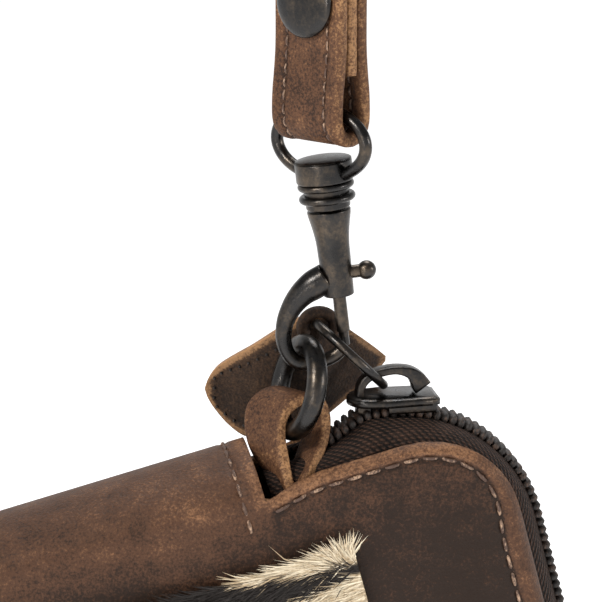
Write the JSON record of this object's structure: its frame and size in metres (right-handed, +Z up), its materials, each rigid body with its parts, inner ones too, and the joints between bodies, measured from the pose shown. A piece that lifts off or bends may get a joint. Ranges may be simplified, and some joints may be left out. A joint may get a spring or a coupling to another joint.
{
  "type": "crossbody phone bag",
  "caption": "Crossbody phone bag: zip-round leather case with a hair-on hide panel, hung from a long leather strap by a swivel snap hook.",
  "frame": {"origin": "inside top of the strap's loop, where it rests on a shoulder; the part hangs from it", "axes": "+Z up, -Y the side with the hide panel, +X to the right as seen from that side"},
  "size_m": [0.1629, 0.0782, 0.7757],
  "materials": {
    "brown_leather": "matte waxed leather with worn edges",
    "dark_leather": "matte waxed leather with rubbed marks",
    "gunmetal": "dark antique plating with rubbed highlights",
    "zip_teeth": "dark antique plating",
    "zip_tape": "coarse woven tape",
    "hide": "short hair, cream with dark stripes"
  },
  "bodies": {
    "strap": {"strap": "brown_leather", "strap_snap": "gunmetal", "clasp_eye": "gunmetal"},
    "bag": {"clasp_hook": "gunmetal", "bag_ring": "gunmetal", "ring_tab": "brown_leather", "leather_body": "dark_leather", "zip_tape_front": "zip_tape", "zip_tape_back": "zip_tape", "zip_chain": "zip_teeth", "zip_slider": "gunmetal", "puller_ring": "gunmetal", "leather_pull": "dark_leather", "hide_patch": "hide"},
    "gate": {"clasp_gate": "gunmetal"}
  },
  "joints": [
    {"name": "swivel", "type": "hinge", "parent": "strap", "child": "bag", "pos_m": [-0.0005, -0.00064, -0.52966], "axis": [-0.1219, 0, 0.9925], "continuous": true},
    {"name": "gate_slide", "type": "slide", "parent": "bag", "child": "gate", "axis": [-0.1219, 0, 0.9925], "range_m": [0, 0.005], "stiffness_N_per_m": 60}
  ]
}
